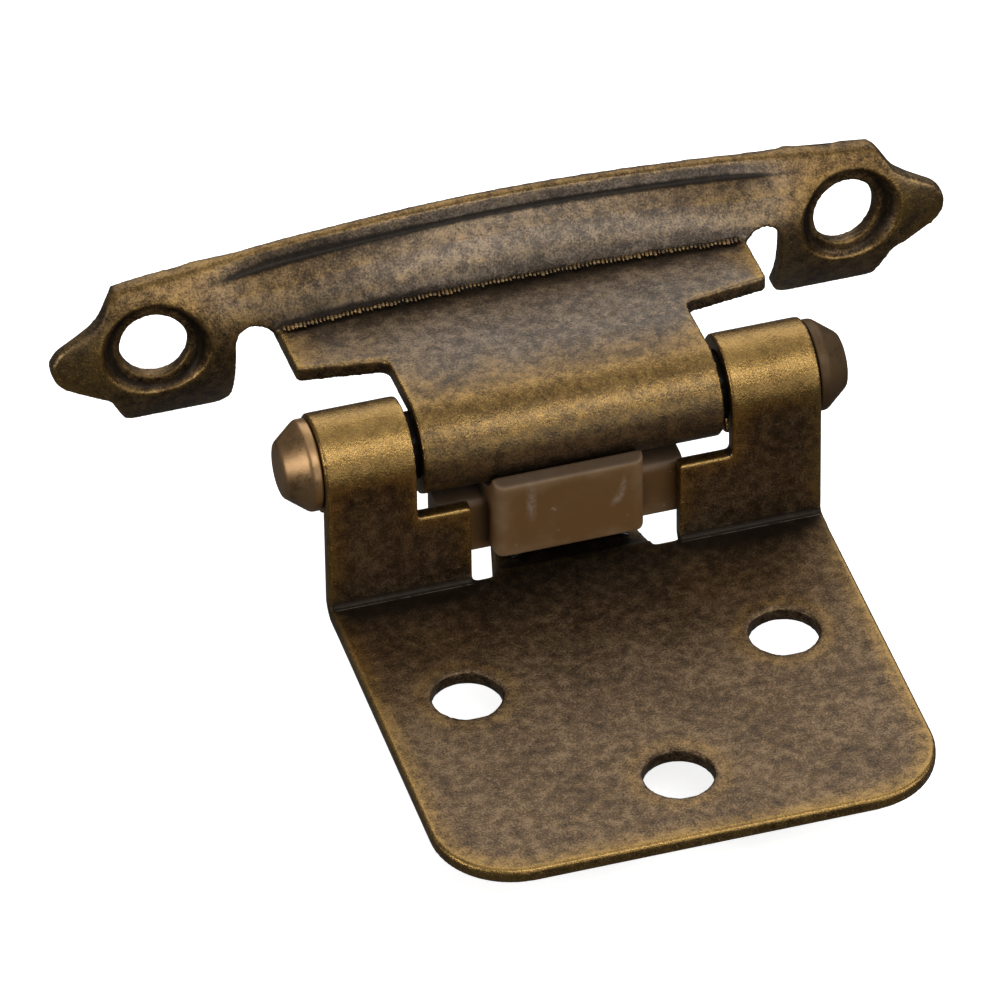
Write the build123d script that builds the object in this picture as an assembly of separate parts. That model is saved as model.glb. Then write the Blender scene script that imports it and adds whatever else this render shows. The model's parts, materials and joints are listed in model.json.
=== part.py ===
from build123d import *
from math import cos, radians, sin
import os

# Frame: origin at the middle of the inside bend line of the door leaf, on the face the door sits on.
# X runs along the pin, Y away from the door, Z up out of the door leaf. All sizes in mm.

# Shared sheet, barrel and pin
SHEET = 1.25
BARREL_R = 3.8
PIN_HEIGHT = 11.0
RUNNING_CLEARANCE = 0.05
KNUCKLE_GAP = 0.6
BORE_R = BARREL_R - SHEET
PIN_R = BORE_R - RUNNING_CLEARANCE
PIN_Y = BARREL_R

# Door leaf
LEAF_WIDTH = 38.4
LEAF_DEPTH = 32.6
LEAF_CORNER_R = 6.2
LEAF_HALF = LEAF_WIDTH / 2
BEND_IN_R = 0.4
BEND_OUT_R = BEND_IN_R + SHEET
SCREW_HOLE_R = 2.62
REAR_HOLE_SPACING = 24.5
REAR_HOLE_Y = -12.5
FRONT_HOLE_Y = -25.6
KNUCKLE_IN = 12.2
TAB_IN = 8.1
TAB_TOP = 6.95
NOTCH_R = 0.5
LEAF_CURL_END = 235.0
EDGE_R = 0.25

# Tongue that carries the closer
TONGUE_SIDE = -0.23
TONGUE_ROOT_HALF = 6.63
TONGUE_TIP_HALF = 5.13
TONGUE_BACK = 5.85
TONGUE_TOP = 5.0
TONGUE_STEP = 0.6
TONGUE_DROP = 0.15

# Frame wing: neck and curl, with the wing square to the neck
WING_LENGTH = 70.0
NECK_SHARE = 0.523
NECK_FALL = 4.2
NECK_STEP = 6.9
NECK_STEP_IN = 5.85
NECK_FILLET_R = 0.8
NECK_CORNER_R = 0.4
NECK_HALF = NECK_SHARE * WING_LENGTH / 2
WING_TILT = 90 - NECK_FALL
CENTRE_HALF = KNUCKLE_IN - KNUCKLE_GAP
WING_CURL_END = 328.0
WING_CURL_START = 360 + WING_TILT
CREASE_R = 0.45

# Frame wing plate, in its own plane: x along the pin, w up from the foot edge, n out of the face.
# Places along x are measured in from the tip of the nose.
WING_REACH = 16.02
CREST_W = 8.1
CREST_N = 3.15
EDGE_N = 0.1
WING_TIP = WING_LENGTH / 2
TOP_MID_W = 13.75
TOP_END_IN = 5.13
TOP_END_W = 11.56
TOP_END_R = 0.5
TOP_ARCH = 1.75
ARCH_POINTS = 6
NOTCH_TOP_IN = 3.9
NOTCH_TOP_W = 9.65
NOTCH_LOW_IN = 4.3
NOTCH_LOW_W = 2.7
NOTCH_FILLET_R = 0.8
NOSE_W = 6.05
NOSE_FLAT = 1.25
NOSE_R = 2.0
FOOT_END_IN = 5.6
FOOT_END_R = 0.9
FOOT_IN_R = 1.4
SLOT_WIDTH = 3.0
SLOT_TOP_W = 8.45
WING_HOLE_IN = 7.8
WING_HOLE_W = 6.95
WING_HOLE_R = 2.6
DISH_R = 3.85
DISH_DEPTH = 0.65
DISH_WALL = 0.6
DISH_N = 1.75
DISH_LEAN_X = 0.12
DISH_LEAN_W = 0.06
WING_HOLE_X = WING_TIP - WING_HOLE_IN
TOP_END_X = WING_TIP - TOP_END_IN
FOOT_IN_X = NECK_HALF + SLOT_WIDTH

# Wing pillow stations: share of the way (0 middle, 1 neck side, 2 nose tip),
# crest place as a share of CREST_W, crest height as a share of CREST_N, share of plain dome
STATIONS = (
    (0.0, 1.0, 1.0, 0.0),
    (0.33, 1.0, 1.03, 0.0),
    (0.66, 1.0, 1.11, 0.0),
    (0.93, 1.0, 1.22, 0.0),
    (1.04, 0.975, 1.19, 0.1),
    (1.16, 0.926, 1.06, 0.35),
    (1.34, 0.852, 0.89, 0.8),
    (1.52, 0.79, 0.78, 1.0),
    (1.7, 0.765, 0.635, 1.0),
    (1.88, 0.753, 0.445, 1.0),
    (2.09, 0.747, 0.19, 1.0),
)
# Section from crest to edge: share of the way, height with the bead, height as a plain dome
SECTION = (
    (0.0, 1.0, 1.0),
    (0.2, 0.92, 0.96),
    (0.4, 0.72, 0.84),
    (0.55, 0.49, 0.7),
    (0.7, 0.21, 0.51),
    (0.82, 0.05, 0.33),
    (1.0, 0.0, 0.0),
    (1.3, -0.05, -0.6),
)

SKIN_TOL = 0.02

# Hinge pin heads
HEAD_R = 3.5
HEAD_RIM = 0.8
HEAD_TIP_R = 2.05
HEAD_LENGTH = 2.65
HEAD_ROUND = 0.35
HEAD_GROOVE = 0.25

# Closer shoe and spring
SHOE_GAP = 0.3
SHOE_SIDE = -0.7
SHOE_FRONT = -1.0
SHOE_BACK = 4.3
SHOE_HALF = 5.8
SHOE_BOTTOM = 2.4
SHOE_TOP = 9.5
SHOE_WING_HALF = 9.6
SHOE_WING_FRONT = SHEET + SHOE_GAP
SHOE_WING_BOTTOM = 1.5
SHOE_WING_TOP = 6.4
SHOE_ROUND = 0.75
SHOE_SLOPE = 0.5
SHOE_TOP_R = 0.2
SPRING_THICK = 0.3
SPRING_HALF = 4.6
SPRING_FRONT = 1.5
SPRING_BACK = 4.0
SPRING_GAP = 0.05


def polar(radius, degrees):
    return (PIN_Y + radius * cos(radians(degrees)), PIN_HEIGHT + radius * sin(radians(degrees)))


def along_x(sketch, start, end):
    return extrude(Plane.YZ.offset(start) * sketch, end - start)


def both_sides(shape):
    return shape + mirror(shape, Plane.YZ)


def curl(start, end):
    # ring about the pin, open over the sector from start round to end (degrees, in the YZ plane)
    reach = 3 * BARREL_R
    fan = [polar(0, 0)]
    steps = 4
    for i in range(steps + 1):
        fan.append(polar(reach, start + (end - start) * i / steps))
    ring = Pos(PIN_Y, PIN_HEIGHT) * (Circle(BARREL_R) - Circle(BORE_R))
    return ring - make_face(Polyline(*fan, close=True))


def leg_section(top):
    outline = [(-BEND_OUT_R, -SHEET), (SHEET, -SHEET), (SHEET, top), (0, top), (0, 0), (-BEND_OUT_R, 0)]
    face = make_face(Polyline(*outline, close=True))
    inner = face.vertices().sort_by_distance((0, 0, 0))[0]
    face = fillet(inner, BEND_IN_R)
    outer = face.vertices().sort_by_distance((SHEET, -SHEET, 0))[0]
    return fillet(outer, BEND_OUT_R)


def leaf_plate():
    plan = Pos(0, -LEAF_DEPTH / 2) * Rectangle(LEAF_WIDTH, LEAF_DEPTH)
    plan = fillet(plan.vertices().group_by(Axis.Y)[0], LEAF_CORNER_R)
    plate = extrude(plan, -SHEET)
    rim = plate.edges().group_by(Axis.Y)[:-1]
    flat = [e for g in rim for e in g if abs(e.bounding_box().size.Z) < SHEET / 2]
    plate = fillet(flat, EDGE_R)
    rear_x = REAR_HOLE_SPACING / 2
    for x, y in ((-rear_x, REAR_HOLE_Y), (rear_x, REAR_HOLE_Y), (0, FRONT_HOLE_Y)):
        plate -= Pos(x, y) * Cylinder(SCREW_HOLE_R, 4 * SHEET)
    return plate


def tongue():
    # short lip level with the door face, then a coined strip that turns up behind the shoe
    back = TONGUE_BACK
    front = TONGUE_BACK - SHEET
    plan = make_face(
        Polyline(
            (-TONGUE_ROOT_HALF, -SHEET),
            (TONGUE_ROOT_HALF, -SHEET),
            (TONGUE_TIP_HALF, front),
            (TONGUE_TIP_HALF, back),
            (-TONGUE_TIP_HALF, back),
            (-TONGUE_TIP_HALF, front),
            close=True,
        )
    )
    floor = -TONGUE_DROP
    hook = [(0, -SHEET), (back, -SHEET), (back, TONGUE_TOP), (front, TONGUE_TOP), (front, floor), (0, floor)]
    side = make_face(Polyline(*hook, close=True))
    side = fillet(side.vertices().sort_by_distance((front, floor, 0))[0], BEND_IN_R)
    side = fillet(side.vertices().sort_by_distance((back, -SHEET, 0))[0], BEND_OUT_R)
    lip = [(-SHEET, -SHEET), (TONGUE_STEP, -SHEET), (TONGUE_STEP, 0), (-SHEET, 0)]
    side += make_face(Polyline(*lip, close=True))
    strip = along_x(side, -TONGUE_ROOT_HALF, TONGUE_ROOT_HALF)
    strip &= extrude(Pos(0, 0, -SHEET) * plan, SHEET + TONGUE_TOP)
    return Pos(TONGUE_SIDE, 0, 0) * strip


def door_leaf():
    end = along_x(leg_section(PIN_HEIGHT) + curl(180, LEAF_CURL_END), KNUCKLE_IN, LEAF_HALF)
    tab = along_x(leg_section(TAB_TOP), TAB_IN, KNUCKLE_IN + NOTCH_R)
    return leaf_plate() + both_sides(end + tab) + tongue()


def wing_plane():
    fall = radians(NECK_FALL)
    y = PIN_Y + (BARREL_R - CREST_W) * sin(fall) + WING_REACH * cos(fall)
    z = PIN_HEIGHT + (BARREL_R - CREST_W) * cos(fall) - WING_REACH * sin(fall)
    return Plane(origin=(0, y, z), x_dir=(1, 0, 0), z_dir=(0, -cos(fall), sin(fall)))


def top_edge_w(x):
    return TOP_MID_W - (TOP_MID_W - TOP_END_W) * (abs(x) / TOP_END_X) ** TOP_ARCH


def pillow_row(side, way, crest_share, height_share, dome):
    x = side * (way * NECK_HALF if way < 1 else NECK_HALF + (way - 1) * (WING_TIP - NECK_HALF))
    crest_w = crest_share * CREST_W
    crest_n = height_share * CREST_N
    row = []
    for share, bead, plain in reversed(SECTION):
        height = EDGE_N + (crest_n - EDGE_N) * plain
        row.append(Vector(x, crest_w * (1 - share), height))
    for share, bead, plain in SECTION[1:]:
        height = EDGE_N + (crest_n - EDGE_N) * (bead + (plain - bead) * dome)
        row.append(Vector(x, crest_w + (top_edge_w(x) - crest_w) * share, height))
    return row


def pillow():
    # everything under the front skin of the formed sheet, and everything under its back skin
    rows = [pillow_row(-1, *station) for station in reversed(STATIONS[1:])]
    rows += [pillow_row(1, *station) for station in STATIONS]
    front = Face.make_surface_from_array_of_points(rows, tol=SKIN_TOL)
    sign = 1 if front.normal_at().Z > 0 else -1
    behind = [[p - front.normal_at(p) * sign * SHEET for p in row] for row in rows]
    back = Face.make_surface_from_array_of_points(behind, tol=SKIN_TOL)
    drop = Vector(0, 0, -TOP_MID_W)
    return Solid.extrude(front, drop), Solid.extrude(back, 2 * drop)


def rounded(face, point, radius):
    return fillet(face.vertices().sort_by_distance((*point, 0))[0], radius)


def wing_plan():
    top_end = (TOP_END_X, TOP_END_W)
    notch_top = (WING_TIP - NOTCH_TOP_IN, NOTCH_TOP_W)
    nose_top = (WING_TIP, NOSE_W + NOSE_FLAT)
    nose_low = (WING_TIP, NOSE_W - NOSE_FLAT)
    notch_low = (WING_TIP - NOTCH_LOW_IN, NOTCH_LOW_W)
    foot_end = (WING_TIP - FOOT_END_IN, 0)
    foot_in = (FOOT_IN_X, 0)
    middle = [(0, TOP_MID_W), (0, CREST_W / 2), (FOOT_IN_X, CREST_W / 2)]
    ear = [foot_in, foot_end, notch_low, nose_low, nose_top, notch_top, top_end]
    places = [TOP_END_X * k / ARCH_POINTS for k in range(ARCH_POINTS + 1)]
    arch = [(x, top_edge_w(x)) for x in places]
    half = make_face(Polyline(*middle, *ear) + Spline(*arch))
    for point, radius in (
        (top_end, TOP_END_R),
        (notch_top, NOTCH_FILLET_R),
        (nose_top, NOSE_R),
        (nose_low, NOSE_R),
        (notch_low, NOTCH_FILLET_R),
        (foot_end, FOOT_END_R),
        (foot_in, FOOT_IN_R),
    ):
        half = rounded(half, point, radius)
    slot_r = SLOT_WIDTH / 2
    slot_x = NECK_HALF + slot_r
    half -= Pos(slot_x, SLOT_TOP_W - slot_r) * Circle(slot_r)
    half -= Pos(slot_x, 0) * Rectangle(SLOT_WIDTH, 2 * (SLOT_TOP_W - slot_r))
    return half + mirror(half, Plane.YZ)


def neck_plane():
    fall = radians(NECK_FALL)
    y, z = polar(BARREL_R, 90 - NECK_FALL)
    return Plane(origin=(0, y, z), x_dir=(1, 0, 0), z_dir=(0, sin(fall), cos(fall)))


def neck_plan():
    half = make_face(
        Polyline(
            (0, 0),
            (CENTRE_HALF, 0),
            (CENTRE_HALF, NECK_STEP_IN),
            (NECK_HALF, NECK_STEP),
            (NECK_HALF, WING_REACH),
            (0, WING_REACH),
            close=True,
        )
    )
    half = rounded(half, (CENTRE_HALF, NECK_STEP_IN), NECK_FILLET_R)
    half = rounded(half, (NECK_HALF, NECK_STEP), NECK_CORNER_R)
    return half + mirror(half, Plane.YZ)


def dished(plate, side):
    # screw dish pressed into one ear: floor pad behind, sloping wall, then the screw hole
    lean = (DISH_LEAN_X * side, DISH_LEAN_W, 1)
    spot = Plane(origin=(side * WING_HOLE_X, WING_HOLE_W, DISH_N), z_dir=lean).location
    top = (Align.CENTER, Align.CENTER, Align.MAX)
    base = (Align.CENTER, Align.CENTER, Align.MIN)
    rise = 3 * DISH_DEPTH
    floor_r = DISH_R - DISH_WALL * DISH_DEPTH
    mouth_r = floor_r + DISH_WALL * rise
    pad = spot * Pos(0, 0, -DISH_DEPTH) * Cylinder(DISH_R, SHEET, align=top)
    bowl = spot * Pos(0, 0, -DISH_DEPTH) * Cone(floor_r, mouth_r, rise, align=base)
    return plate + pad - bowl - spot * Cylinder(WING_HOLE_R, TOP_MID_W)


def crease_edge(wing):
    # the long edge where the front of the wing plate meets the top of the neck
    neck_at = neck_plane()
    long_edges = [e for e in wing.edges() if e.length > 2 * CENTRE_HALF + KNUCKLE_GAP]
    return [e for e in long_edges if abs(neck_at.to_local_coords(e.center()).Z) < CREASE_R / 4]


def frame_wing():
    mass, hollow = pillow()
    plane = wing_plane()
    plate = (mass & extrude(Pos(0, 0, -TOP_MID_W) * wing_plan(), 2 * TOP_MID_W)) - hollow
    for side in (-1, 1):
        plate = dished(plate, side)
    plate = plane.location * plate
    hollow = plane.location * hollow
    neck_at = neck_plane()
    under = extrude(Pos(0, WING_REACH) * Rectangle(2 * NECK_HALF, 2 * WING_REACH), -2 * TOP_MID_W)
    plate -= neck_at.location * Pos(0, 0, -SHEET) * under
    neck = neck_at.location * extrude(neck_plan(), -SHEET) - hollow
    barrel = along_x(curl(WING_CURL_END, WING_CURL_START), -CENTRE_HALF, CENTRE_HALF)
    wing = plate + neck + barrel
    return fillet(crease_edge(wing), CREASE_R)


def hinge_pin():
    rim = LEAF_HALF + HEAD_RIM
    end = LEAF_HALF + HEAD_LENGTH
    outline = [
        (0, 0),
        (0, PIN_R),
        (LEAF_HALF, PIN_R),
        (LEAF_HALF, HEAD_R - HEAD_GROOVE),
        (LEAF_HALF + HEAD_GROOVE, HEAD_R),
        (rim, HEAD_R),
        (end, HEAD_TIP_R),
        (end, 0),
    ]
    half = make_face(Polyline(*outline, close=True))
    half = rounded(half, (rim, HEAD_R), HEAD_ROUND)
    half = rounded(half, (end, HEAD_TIP_R), HEAD_ROUND)
    return Pos(0, PIN_Y, PIN_HEIGHT) * both_sides(revolve(half, Axis.X))


def span(x, y0, y1, z0, z1):
    return Pos(0, (y0 + y1) / 2, (z0 + z1) / 2) * Box(2 * x, y1 - y0, z1 - z0)


def closer_shoe():
    block = span(SHOE_HALF, SHOE_FRONT, SHOE_BACK, SHOE_BOTTOM, SHOE_TOP)
    block = fillet(block.faces().sort_by(Axis.Y)[0].edges().filter_by(Axis.Z), SHOE_ROUND)
    front_low = SHOE_TOP - SHOE_SLOPE
    slope = make_face(Polyline((SHOE_FRONT, front_low), (0, SHOE_TOP), (SHOE_FRONT, SHOE_TOP), close=True))
    block -= along_x(slope, -SHOE_HALF, SHOE_HALF)
    block = fillet(block.faces().sort_by(Axis.Y)[0].edges().filter_by(Axis.X), SHOE_TOP_R)
    wings = span(SHOE_WING_HALF, SHOE_WING_FRONT, SHOE_BACK, SHOE_WING_BOTTOM, SHOE_WING_TOP)
    front_top = wings.edges().filter_by(Axis.X).sort_by(lambda e: e.center().Y - e.center().Z)[0]
    wings = fillet(front_top, SHOE_ROUND)
    cup = Pos(0, PIN_Y, PIN_HEIGHT) * Rot(0, 90, 0) * Cylinder(BARREL_R + SHOE_GAP, 4 * SHOE_HALF)
    return Pos(SHOE_SIDE, 0, 0) * (block + wings - cup)


def closer_spring():
    low = -TONGUE_DROP
    high = SHOE_WING_BOTTOM - SPRING_GAP
    lower = ThreePointArc((-SPRING_HALF, low), (0, high - SPRING_THICK), (SPRING_HALF, low))
    upper = ThreePointArc((-SPRING_HALF, low + SPRING_THICK), (0, high), (SPRING_HALF, low + SPRING_THICK))
    left = Line((-SPRING_HALF, low), (-SPRING_HALF, low + SPRING_THICK))
    right = Line((SPRING_HALF, low), (SPRING_HALF, low + SPRING_THICK))
    strip = make_face(lower + upper + left + right)
    return extrude(Plane.XZ.offset(-SPRING_FRONT) * strip, SPRING_FRONT - SPRING_BACK)


os.makedirs("parts", exist_ok=True)
export_step(door_leaf(), "parts/door_leaf.step")
export_step(frame_wing(), "parts/frame_wing.step")
export_step(hinge_pin(), "parts/hinge_pin.step")
export_step(closer_shoe(), "parts/closer_shoe.step")
export_step(closer_spring(), "parts/closer_spring.step")
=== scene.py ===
import json
import math

import bmesh
import bpy
import numpy as np
from bpy.props import FloatProperty, FloatVectorProperty, IntProperty, PointerProperty
from mathutils import Euler, Matrix, Vector
from mathutils.bvhtree import BVHTree


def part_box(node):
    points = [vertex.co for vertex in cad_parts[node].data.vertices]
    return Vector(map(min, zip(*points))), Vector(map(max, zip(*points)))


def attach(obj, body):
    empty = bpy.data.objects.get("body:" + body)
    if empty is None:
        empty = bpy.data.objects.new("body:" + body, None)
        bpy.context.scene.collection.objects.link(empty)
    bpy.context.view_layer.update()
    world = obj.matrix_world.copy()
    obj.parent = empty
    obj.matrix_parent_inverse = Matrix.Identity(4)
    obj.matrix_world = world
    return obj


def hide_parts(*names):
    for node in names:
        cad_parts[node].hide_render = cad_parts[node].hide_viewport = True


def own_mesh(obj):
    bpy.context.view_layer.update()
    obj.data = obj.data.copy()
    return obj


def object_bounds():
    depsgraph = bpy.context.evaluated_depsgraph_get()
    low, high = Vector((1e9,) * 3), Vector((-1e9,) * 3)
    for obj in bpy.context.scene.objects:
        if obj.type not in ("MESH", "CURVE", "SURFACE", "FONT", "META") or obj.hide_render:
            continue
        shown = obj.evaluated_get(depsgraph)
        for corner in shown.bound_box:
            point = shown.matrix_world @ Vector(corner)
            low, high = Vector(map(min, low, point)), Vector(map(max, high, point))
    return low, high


bl_info = {
    "name": "Flush Hinge Looks",
    "version": (1, 0, 0),
    "blender": (4, 5, 0),
    "location": "3D View > Sidebar > Hinge",
    "description": "Dresses the packed flush hinge in rubbed antique brass, bronze and nylon",
    "category": "Object",
}

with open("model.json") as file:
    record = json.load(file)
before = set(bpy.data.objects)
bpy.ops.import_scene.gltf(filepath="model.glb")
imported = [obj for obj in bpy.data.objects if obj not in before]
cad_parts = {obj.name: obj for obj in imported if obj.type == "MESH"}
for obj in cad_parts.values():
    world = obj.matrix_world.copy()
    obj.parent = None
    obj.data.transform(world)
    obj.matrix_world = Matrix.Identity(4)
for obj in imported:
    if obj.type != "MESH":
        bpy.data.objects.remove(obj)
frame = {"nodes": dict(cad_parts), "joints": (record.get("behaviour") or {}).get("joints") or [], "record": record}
CAD_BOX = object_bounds()
# Most triangles of one piece
MOST_FACES = 190000
MM = 0.001
# Points of a mesh that lie closer than this are one point
SAME_POINT = 0.001 * MM

# Places read from the frame, in metres
JOINTS = {row["name"]: row for row in frame["joints"]}
PIN = Vector(JOINTS["wing_turn"]["pos_m"])
_, LEAF_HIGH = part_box("door_leaf")
PIN_LOW, PIN_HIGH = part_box("hinge_pin")
BARREL_R = LEAF_HIGH.z - PIN.z
HEAD_R = (PIN_HIGH.z - PIN_LOW.z) / 2
HEAD_LENGTH = PIN_HIGH.x - LEAF_HIGH.x
MOUNTS = {row["name"]: row for row in frame["record"]["mounts"]}
WING_HOLES = [np.array(row["pos_m"]) for name, row in MOUNTS.items() if name.startswith("wing_screw")]
LEAF_HOLE_R = MOUNTS["door_screw_front"]["dims"]["r_mm"] * MM
REAR_X, REAR_Y, _ = MOUNTS["door_screws_rear"]["pos_m"]
REAR_HALF = MOUNTS["door_screws_rear"]["dims"]["spacing_x_mm"] * MM / 2
FRONT_HOLE = MOUNTS["door_screw_front"]["pos_m"][:2]
LEAF_HOLES = (FRONT_HOLE, (REAR_X - REAR_HALF, REAR_Y), (REAR_X + REAR_HALF, REAR_Y))
# Points in one ring of the turned pin
RING_POINTS = 96
# Turn from the closed wing, which lies level, to the wing at rest
WING_TURN = Matrix.Rotation(math.radians(-JOINTS["wing_turn"]["range_deg"][0]), 3, "X")
# Grid for the wing's even mesh, turned away from all of its edges
WING_SKEW = Euler((0.6, 0.5, 0.7)).to_matrix().to_4x4()


def length(name, description, default):
    return FloatProperty(name=name, description=description, default=default, unit="LENGTH", precision=6)


def share(name, description, default):
    return FloatProperty(name=name, description=description, default=default, min=0, max=1, subtype="FACTOR")


def colour(name, description, default):
    return FloatVectorProperty(name=name, description=description, default=default, size=3, subtype="COLOR")


def turn(name, description, degrees):
    return FloatProperty(name=name, description=description, default=math.radians(degrees), subtype="ANGLE")


def whole_number(name, description, default):
    return IntProperty(name=name, description=description, default=default, min=0)


def watts(name, description, default):
    return FloatProperty(name=name, description=description, default=default, min=0, unit="POWER")


def amount(name, description, default):
    return FloatProperty(name=name, description=description, default=default, min=0)


def camera_size(name, description, default):
    return FloatProperty(name=name, description=description, default=default, unit="CAMERA")


class HINGE_PG_sheet(bpy.types.PropertyGroup):
    """Sizes of the pressed sheet's surface"""

    leaf_grain: length("Leaf grain", "Size of one mesh cell on the door leaf", 0.18 * MM)
    wing_grain: length("Wing grain", "Size of one mesh cell on the frame wing", 0.17 * MM)
    softening: whole_number("Softening", "Smoothing passes that turn the edges round", 8)
    easing: whole_number("Easing", "Extra passes along the wing's top edge", 24)
    bead_drop: length("Bead drop", "Distance of the pressed line below the wing's top edge", 1.2 * MM)
    bead_width: length("Bead width", "Half width of the pressed line", 0.2 * MM)
    bead_depth: length("Bead depth", "Depth of the pressed line", 0.05 * MM)
    bead_reach: length("Bead reach", "Place along the pin at which the pressed line starts to fade", 19 * MM)
    bead_fade: length("Bead fade", "Length over which the pressed line fades out", 8 * MM)
    # The pale fold line is a painted highlight
    fold_back: length("Fold line place", "Distance of the pale line from the inside bend line", 0.42 * MM)
    fold_up: length("Fold line height", "Height of the pale fold line over the plate", 0.05 * MM)
    fold_inner: length("Fold line start", "Inner end of the pale fold line", 8.1 * MM)
    # The darkening in the fold is painted shade
    fold_reach: length("Fold reach", "Reach of the dirt in the fold of the leaf", 0.35 * MM)
    # Painted shade: the plate darkens towards the fold, where the barrel and the shoe shade it
    shade_reach: length("Shade reach", "Reach of the darker patina in front of the fold", 11 * MM)
    # The neck's darkening by the crease is painted shade, standing in for its reflection of the wing
    neck_reach: length("Neck reach", "Reach of the dirt on the neck, in front of the crease", 6 * MM)
    hole_reach: length("Hole reach", "Reach of the dirt round the screw holes of the leaf", 0.6 * MM)
    dish_r: length("Dish radius", "Reach of the dirt in the screw dishes", 3.7 * MM)
    crease_back: length("Crease place", "Distance of the crease in front of the wing's back", 4 * MM)
    film_and_sheen_reach: length("Film reach", "Place along the pin at which the grey film starts to fade", 19 * MM)
    edge_passes: whole_number("Edge reach", "Passes that find the worn edges", 12)
    broad_passes: whole_number("Broad reach", "Passes that find the rubbed borders", 160)
    edge_stand: length("Edge stand", "Height over its surroundings at which an edge is worn bare", 0.04 * MM)
    broad_stand: length("Border stand", "Height over its surroundings at which a border is rubbed", 0.1 * MM)


class HINGE_PG_brass(bpy.types.PropertyGroup):
    """Colours and grain of the rubbed antique brass"""

    umber: colour("Umber", "Darkest patina", (0.02, 0.0125, 0.0065))
    patina: colour("Patina", "Usual brown of the patina", (0.098, 0.055, 0.021))
    bloom: colour("Bloom", "Palest patina", (0.25, 0.162, 0.085))
    old_gold: colour("Old gold", "Brass rubbed half bare", (0.135, 0.078, 0.022))
    gold: colour("Gold", "Brass rubbed bare", (0.335, 0.202, 0.061))
    # The grey film is partly the finish's own grey and partly painted sheen
    film: colour("Film", "Pale specks of the grey film on the broad faces", (0.285, 0.257, 0.227))
    film_and_sheen_ground: colour("Film ground", "Dark ground of the grey film", (0.095, 0.083, 0.072))
    # Colour of the grime in the hollows, also used for painted shade
    grime_and_shade: colour("Grime", "Dirt in the hollows", (0.01, 0.007, 0.0045))
    # Colour of the painted highlight along the leaf's fold
    line: colour("Fold line", "Pale line along a fold", (0.26, 0.23, 0.2))
    line_width: length("Fold line width", "Half width of the pale line along a fold", 0.05 * MM)
    speckle: length("Speckle", "Size of the fine speckle", 0.16 * MM)
    fleck: length("Fleck", "Size of the small bare flecks", 0.5 * MM)
    mottle: length("Mottle", "Size of the mottled patches", 0.9 * MM)
    cloud: length("Cloud", "Size of the broad patches", 6 * MM)
    scratch_long: length("Scratch length", "Length of the long scratches", 14 * MM)
    scratch_wide: length("Scratch width", "Width of the long scratches", 0.1 * MM)
    nick_long: length("Nick length", "Length of the short scratches", 9 * MM)
    nick_wide: length("Nick width", "Width of the short scratches", 0.09 * MM)
    relief: length("Relief", "Height of the fine grain", 0.055 * MM)
    lacquer: share("Lacquer", "Weight of the clear lacquer", 0.1)


class HINGE_PG_pin(bpy.types.PropertyGroup):
    """Sizes and colours of the riveted pin"""

    rim: length("Rim", "Straight part of a head, next to the knuckle", 0.8 * MM)
    tip_r: length("Tip radius", "Radius of a head's flat end", 2.05 * MM)
    rounding: length("Rounding", "Radius of a head's edges", 0.25 * MM)
    shank_r: length("Shank radius", "Radius of the pin inside the knuckles", BARREL_R - 1.3 * MM)
    step: length("Step", "Distance between two rings of the mesh", 0.09 * MM)
    mottle: length("Mottle", "Size of the mottled patches", 1.6 * MM)
    copper: colour("Copper", "Rubbed bronze", (0.37, 0.22, 0.1))
    brown: colour("Brown", "Bronze patina", (0.06, 0.033, 0.014))


class HINGE_PG_teeth(bpy.types.PropertyGroup):
    """Sizes of the tool marks along the crease"""

    pitch: length("Pitch", "Distance between two tool marks", 0.31 * MM)
    tall: length("Height", "Height of one tool mark on the wing", 0.85 * MM)
    wide: length("Width", "Width of one tool mark along the crease", 0.36 * MM)
    proud: length("Stand", "How far a tool mark stands out", 0.16 * MM)
    lift: length("Lift", "Height above the neck at which the wing's front is found", 0.6 * MM)
    back: length("Step back", "Distance in front of the wing from which the crease is found", 1.0 * MM)
    seat: length("Seat", "Height of the row above the neck", -0.1 * MM)
    inset: length("Inset", "Distance of the row's ends from the neck's sides", 0.5 * MM)
    seed: whole_number("Seed", "Seed of the uneven sizes", 7)


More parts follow.
